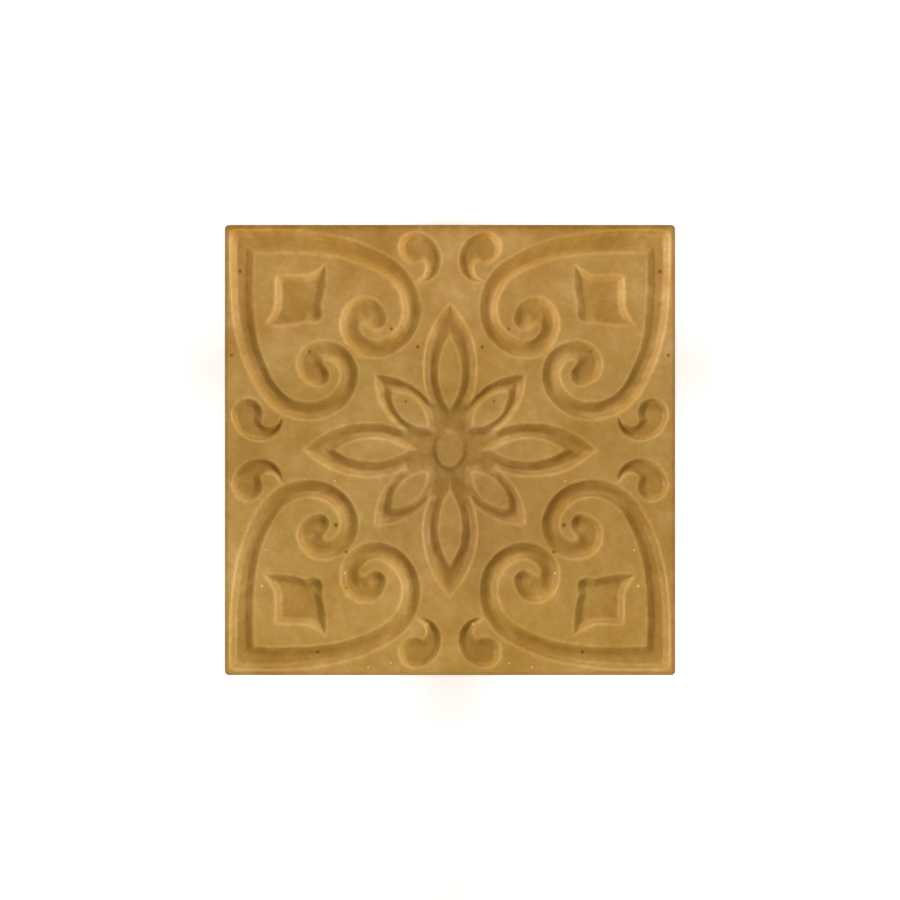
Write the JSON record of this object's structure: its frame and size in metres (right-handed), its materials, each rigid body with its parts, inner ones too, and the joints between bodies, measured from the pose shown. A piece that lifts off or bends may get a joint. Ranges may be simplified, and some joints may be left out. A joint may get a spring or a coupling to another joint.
{
  "type": "relief glazed tile",
  "caption": "Square glazed wall tile with a sunken ornament of flower, scrolled hearts, stars and commas in its face and a flat unglazed back.",
  "frame": {"origin": "centre of the tile's flat back", "axes": "+Z out of the glazed face; +X and +Y along two sides of the tile, +Y towards the side that is at the top of the picture"},
  "size_m": [0.15, 0.15, 0.012],
  "materials": {
    "glaze": "gloss"
  },
  "bodies": {
    "root": {"relief_tile": "glaze"}
  },
  "joints": []
}
